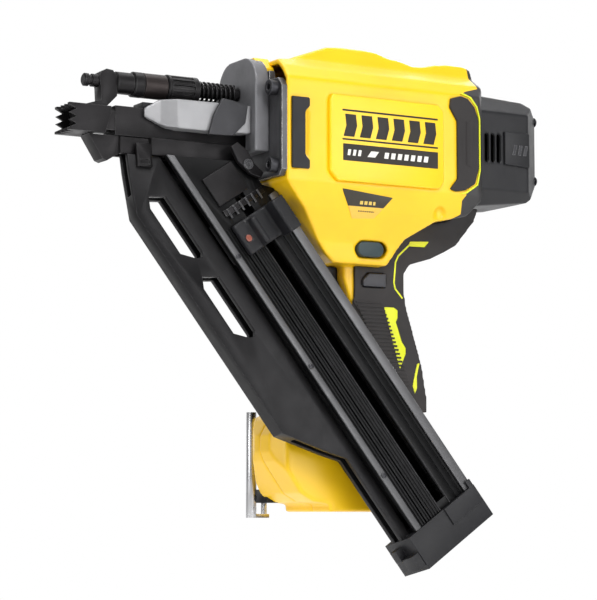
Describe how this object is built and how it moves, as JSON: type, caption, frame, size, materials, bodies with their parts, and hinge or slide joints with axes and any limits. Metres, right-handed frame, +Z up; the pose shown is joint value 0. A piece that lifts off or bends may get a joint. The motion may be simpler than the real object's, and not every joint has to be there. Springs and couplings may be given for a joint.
{
  "type": "cordless framing nailer",
  "caption": "Battery framing nailer with raked strip magazine, serrated contact trip, depth wheel, trigger, and flywheel driver inside a two-shell housing.",
  "frame": {"origin": "muzzle: front end of the drive channel, on its axis", "axes": "-X the way a nail leaves, +Z up from the grip to the body, +Y the tool's right-hand side"},
  "size_m": [0.355, 0.1161, 0.3532],
  "materials": {
    "yellow_shell": "satin",
    "grip_rubber": "matt",
    "lime_accent": "satin",
    "black_moulding": "fine texture",
    "dark_label": "printed",
    "control_plastic": "satin",
    "screw_steel": "black oxide",
    "flange_steel": "satin",
    "cast_aluminium": "die cast",
    "link_steel": "satin",
    "black_steel": "phosphated",
    "spring_steel": "oiled",
    "black_anodised": "anodised",
    "rail_grey": "satin",
    "hook_steel": "zinc",
    "brass_screw": "zinc yellow",
    "driver_steel": "ground",
    "bumper_rubber": "matt",
    "winding_copper": "enamelled",
    "coil_case": "satin",
    "board_green": "lacquered"
  },
  "bodies": {
    "root": {"housing_left": "yellow_shell", "housing_right": "yellow_shell", "grip_overmould": "grip_rubber", "grip_accents": "lime_accent", "top_cover": "black_moulding", "side_panels": "yellow_shell", "front_pads": "black_moulding", "rear_pads": "grip_rubber", "pinstripes": "lime_accent", "info_labels": "dark_label", "rear_cap": "black_moulding", "cap_badges": "black_moulding", "cap_screws": "screw_steel", "trigger_pin": "screw_steel", "trigger_switch": "coil_case", "front_flange": "flange_steel", "front_casting": "cast_aluminium", "flange_bolts": "screw_steel", "nose_bracket": "cast_aluminium", "link_plates": "link_steel", "nosepiece": "black_steel", "trip_spring": "spring_steel", "rod_block": "black_moulding", "magazine_plates": "black_anodised", "magazine_tray": "black_anodised", "magazine_rail": "rail_grey", "rear_rail": "rail_grey", "nose_shroud": "black_steel", "end_cap": "black_moulding", "guide_rods": "spring_steel", "magazine_screws": "screw_steel", "tray_cover": "black_steel", "spring_band": "spring_steel", "magazine_bracket": "black_steel", "foot_block": "black_moulding", "hook_bracket": "black_moulding", "hook_screw": "brass_screw", "driver_guides": "spring_steel", "driver_frame": "driver_steel", "bumper": "bumper_rubber", "motor_stator": "winding_copper", "motor_frame": "driver_steel", "solenoid": "coil_case", "circuit_board": "board_green", "housing_screws": "screw_steel"},
    "contact_trip": {"contact_trip": "black_steel", "trip_rod": "black_steel"},
    "depth_wheel": {"depth_wheel": "black_steel"},
    "trigger": {"trigger": "control_plastic"},
    "trigger_lock": {"trigger_lock": "control_plastic"},
    "mode_selector": {"mode_selector": "control_plastic"},
    "pusher": {"pusher": "black_moulding"},
    "clamp_lever": {"clamp_lever": "black_steel"},
    "jam_latch": {"jam_latch": "black_steel"},
    "driver": {"driver": "driver_steel"},
    "flywheel": {"flywheel": "driver_steel"},
    "rafter_hook": {"rafter_hook": "hook_steel"}
  },
  "joints": [
    {"name": "trip_slide", "type": "slide", "parent": "root", "child": "contact_trip", "axis": [1, 0, 0], "range_m": [0, 0.012], "stiffness_N_per_m": 600, "springref_m": -0.01, "deforming": ["trip_spring"]},
    {"name": "depth_wheel_spin", "type": "hinge", "parent": "contact_trip", "child": "depth_wheel", "pos_m": [0.075, 0, 0.0265], "axis": [1, 0, 0], "continuous": true},
    {"name": "trigger_pull", "type": "hinge", "parent": "root", "child": "trigger", "pos_m": [0.195, 0, -0.0885], "axis": [0, -1, 0], "range_deg": [0, 12], "stiffness_Nm_per_rad": 0.6, "springref_deg": -17.19},
    {"name": "trigger_lock_slide", "type": "slide", "parent": "root", "child": "trigger_lock", "axis": [0, 1, 0], "range_m": [0, 0.003]},
    {"name": "mode_selector_slide", "type": "slide", "parent": "root", "child": "mode_selector", "axis": [1, 0, 0], "range_m": [0, 0.004]},
    {"name": "pusher_slide", "type": "slide", "parent": "root", "child": "pusher", "axis": [0.5446, -0.16, -0.8233], "range_m": [0, 0.185], "stiffness_N_per_m": 15, "springref_m": -0.4},
    {"name": "clamp_lever_swing", "type": "hinge", "parent": "root", "child": "clamp_lever", "pos_m": [0.11284, -0.01789, -0.0239], "axis": [0, 0.9816, -0.1908], "range_deg": [-30, 0]},
    {"name": "jam_latch_slide", "type": "slide", "parent": "root", "child": "jam_latch", "axis": [0, -0.1908, -0.9816], "range_m": [0, 0.006]},
    {"name": "driver_stroke", "type": "slide", "parent": "root", "child": "driver", "axis": [-1, 0, 0], "range_m": [0, 0.096], "stiffness_N_per_m": 60, "springref_m": -0.1},
    {"name": "flywheel_spin", "type": "hinge", "parent": "root", "child": "flywheel", "pos_m": [0.205, 0, -0.025], "axis": [0, 1, 0], "continuous": true},
    {"name": "hook_swing", "type": "hinge", "parent": "root", "child": "rafter_hook", "pos_m": [0.16, 0.04, -0.238], "axis": [0, 0, 1], "range_deg": [-180, 0]}
  ]
}
